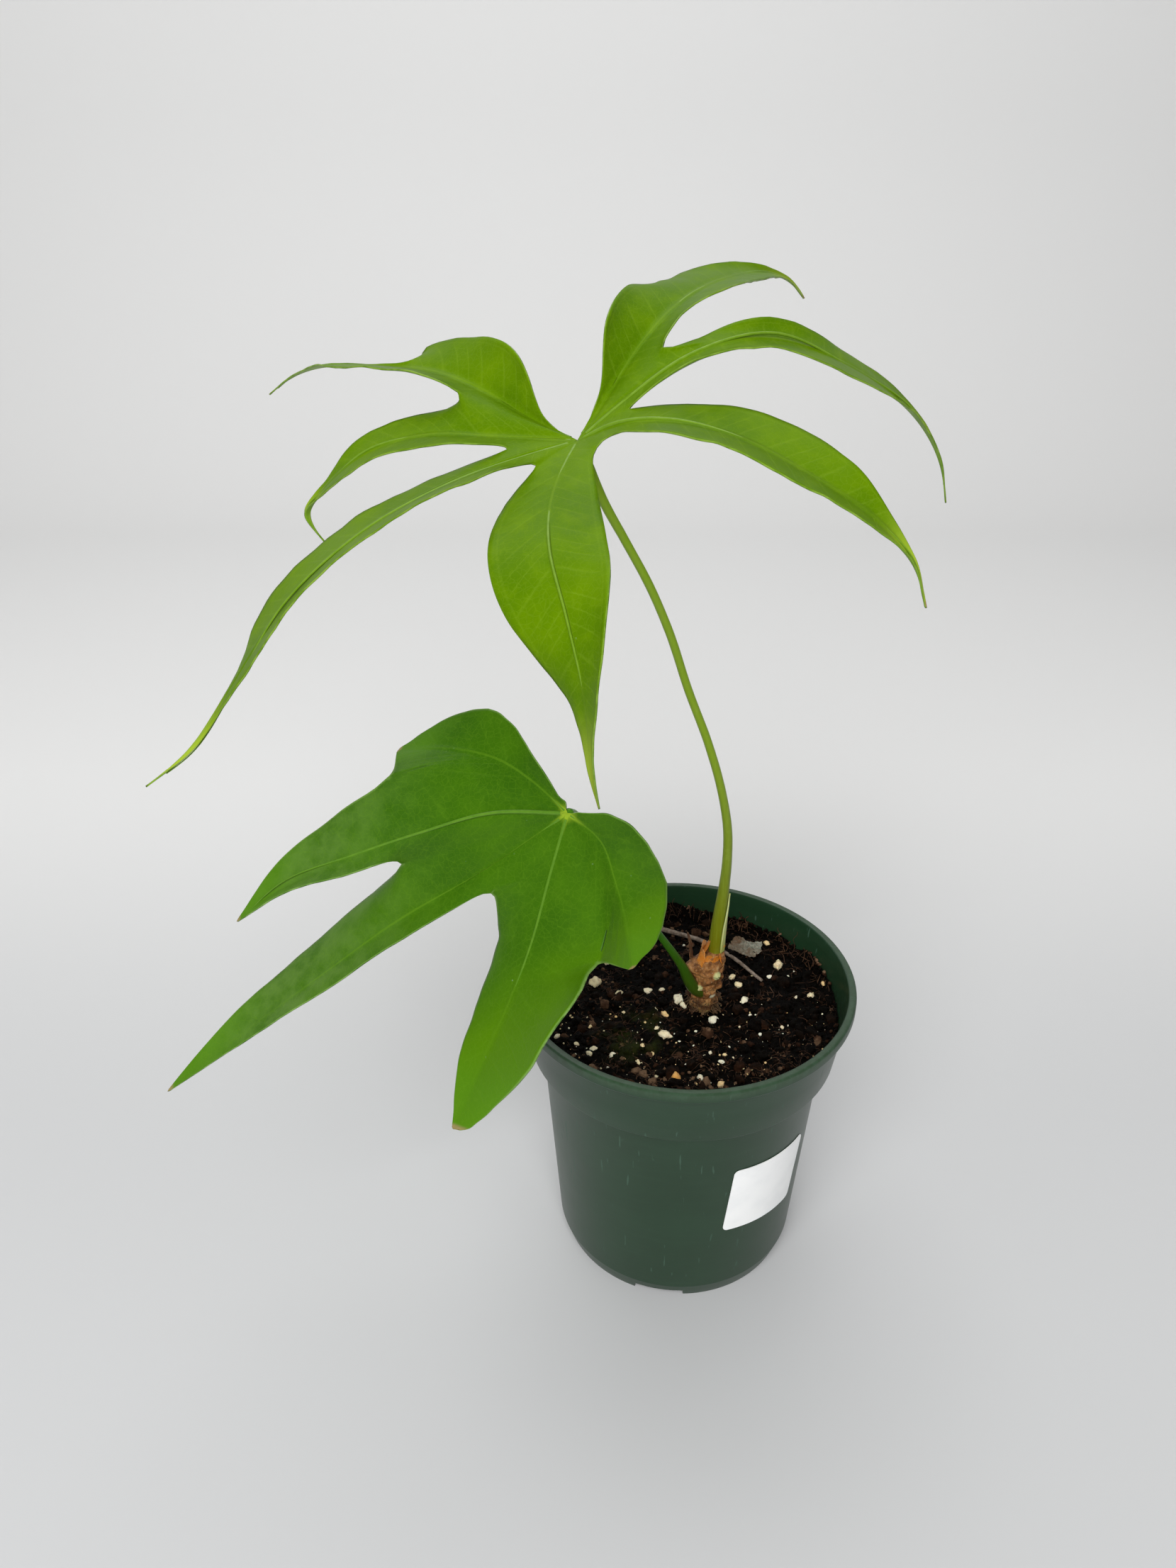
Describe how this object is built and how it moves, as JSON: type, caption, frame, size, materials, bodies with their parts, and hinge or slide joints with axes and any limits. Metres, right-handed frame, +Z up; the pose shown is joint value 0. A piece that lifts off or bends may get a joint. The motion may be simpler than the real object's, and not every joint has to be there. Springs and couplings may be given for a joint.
{
  "type": "potted anthurium seedling",
  "caption": "Young aroid plant with long pointed leaf lobes spreading from each stalk's tip, rooted in soil in a round tapered nursery pot.",
  "frame": {"origin": "centre of the pot's flat base, on the surface it stands on", "axes": "+Z up along the pot's axis, -Y towards the side with the low leaf and the label"},
  "size_m": [0.2204, 0.165, 0.3053],
  "materials": {
    "pot_plastic": "satin moulded plastic",
    "potting_soil": "dark crumbly peat mix",
    "brown_fibre": "ragged fibrous leaf bases",
    "pale_sheath": "smooth pale leaf base",
    "tall_stalk": "smooth yellow-green stalk",
    "tall_leaf": "glossy yellow-green leaf",
    "low_stalk": "smooth green stalk",
    "low_leaf": "satin mid-green leaf",
    "dead_stalk": "dry grey-brown stalk",
    "dead_leaf": "dry papery leaf scrap",
    "label_paper": "blank white sticker"
  },
  "bodies": {
    "root": {"pot": "pot_plastic", "soil": "potting_soil", "rhizome": "brown_fibre", "sheath": "pale_sheath", "tall_petiole": "tall_stalk", "tall_blade": "tall_leaf", "low_petiole": "low_stalk", "low_blade": "low_leaf", "dry_stem": "dead_stalk", "dry_scrap": "dead_leaf", "label": "label_paper"}
  },
  "joints": []
}
